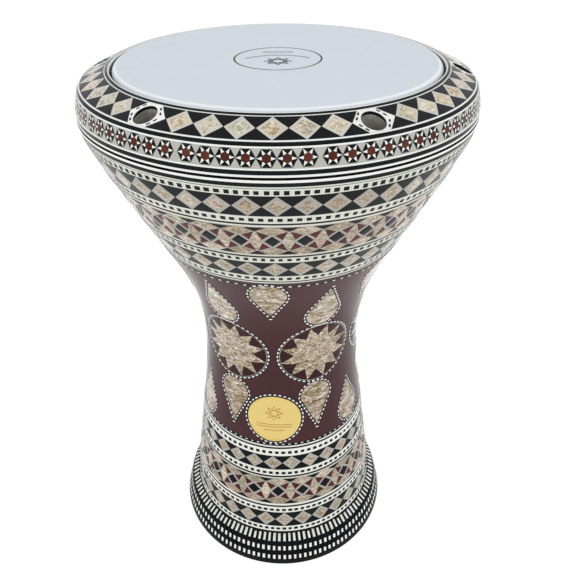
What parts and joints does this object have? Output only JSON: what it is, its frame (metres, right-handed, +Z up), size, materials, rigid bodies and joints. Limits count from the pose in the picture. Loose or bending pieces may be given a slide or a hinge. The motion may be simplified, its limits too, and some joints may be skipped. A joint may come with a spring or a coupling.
{
  "type": "darbuka",
  "caption": "Goblet hand drum with an inlaid cast shell, open foot, film head and a bolted tuning ring that lifts as its bolts are slackened.",
  "frame": {"origin": "centre of the foot, on the surface the drum stands on", "axes": "+Z up along the drum's axis to the playing surface; -Y is the side with the medallion"},
  "size_m": [0.2736, 0.2736, 0.44],
  "materials": {
    "cast_shell": "cast, black lacquered foot edge",
    "cast_ring": "cast, machined counterbores",
    "hoop_metal": "satin",
    "film": "pale satin polyester film",
    "bolt_steel": "dark oxide",
    "inlay_pearl": "mother-of-pearl chips and black and white strips under clear polyester lacquer",
    "inlay_cream": "cream strips with black squares under clear polyester lacquer",
    "inlay_black": "black and white strips under clear polyester lacquer",
    "panel_burgundy": "deep gloss",
    "medallion_gold": "satin stamped plate"
  },
  "bodies": {
    "drum_body": {"shell": "cast_shell", "thread_inserts": "bolt_steel", "drumhead_film": "film", "drumhead_collar": "film", "drumhead_hoop": "hoop_metal", "rim_lines": "inlay_black", "bowl_dots_1": "inlay_cream", "bowl_diamonds_1": "inlay_pearl", "bowl_dots_2": "inlay_cream", "bowl_stars": "inlay_pearl", "bowl_dots_3": "inlay_cream", "bowl_diamonds_2": "inlay_pearl", "bowl_dots_4": "inlay_cream", "centre_panel": "panel_burgundy", "rosettes": "inlay_pearl", "leaves": "inlay_pearl", "medallion": "medallion_gold", "foot_lines": "inlay_black", "foot_dots_1": "inlay_cream", "foot_diamonds_1": "inlay_pearl", "foot_dots_2": "inlay_cream", "foot_stars": "inlay_pearl", "foot_dots_3": "inlay_cream", "foot_diamonds_2": "inlay_pearl", "foot_dots_4": "inlay_cream", "foot_bars": "inlay_cream", "foot_blocks_upper": "inlay_black", "foot_blocks_lower": "inlay_black"},
    "ring": {"tuning_ring": "cast_ring", "ring_inner_lines": "inlay_cream", "ring_diamonds": "inlay_pearl", "ring_shoulder_lines": "inlay_black", "ring_stars": "inlay_pearl", "ring_bottom_lines": "inlay_black"},
    "bolt_1": {"tuning_bolt_1": "bolt_steel"},
    "bolt_2": {"tuning_bolt_2": "bolt_steel"},
    "bolt_3": {"tuning_bolt_3": "bolt_steel"},
    "bolt_4": {"tuning_bolt_4": "bolt_steel"},
    "bolt_5": {"tuning_bolt_5": "bolt_steel"},
    "bolt_6": {"tuning_bolt_6": "bolt_steel"}
  },
  "joints": [
    {"name": "ring_lift", "type": "slide", "parent": "drum_body", "child": "ring", "axis": [0, 0, 1], "range_m": [0, 0.015]},
    {"name": "bolt_turn_1", "type": "hinge", "parent": "ring", "child": "bolt_1", "pos_m": [0.05031, -0.11301, 0.42], "axis": [0, 0, 1], "range_deg": [0, 4320]},
    {"name": "bolt_turn_2", "type": "hinge", "parent": "ring", "child": "bolt_2", "pos_m": [0.12302, -0.01293, 0.42], "axis": [0, 0, 1], "range_deg": [0, 4320]},
    {"name": "bolt_turn_3", "type": "hinge", "parent": "ring", "child": "bolt_3", "pos_m": [0.07271, 0.10008, 0.42], "axis": [0, 0, 1], "range_deg": [0, 4320]},
    {"name": "bolt_turn_4", "type": "hinge", "parent": "ring", "child": "bolt_4", "pos_m": [-0.05031, 0.11301, 0.42], "axis": [0, 0, 1], "range_deg": [0, 4320]},
    {"name": "bolt_turn_5", "type": "hinge", "parent": "ring", "child": "bolt_5", "pos_m": [-0.12302, 0.01293, 0.42], "axis": [0, 0, 1], "range_deg": [0, 4320]},
    {"name": "bolt_turn_6", "type": "hinge", "parent": "ring", "child": "bolt_6", "pos_m": [-0.07271, -0.10008, 0.42], "axis": [0, 0, 1], "range_deg": [0, 4320]}
  ],
  "couplings": [
    {"joint": "bolt_turn_1", "follows": "ring_lift", "rad_per_m": 5026.5},
    {"joint": "bolt_turn_2", "follows": "ring_lift", "rad_per_m": 5026.5},
    {"joint": "bolt_turn_3", "follows": "ring_lift", "rad_per_m": 5026.5},
    {"joint": "bolt_turn_4", "follows": "ring_lift", "rad_per_m": 5026.5},
    {"joint": "bolt_turn_5", "follows": "ring_lift", "rad_per_m": 5026.5},
    {"joint": "bolt_turn_6", "follows": "ring_lift", "rad_per_m": 5026.5}
  ]
}
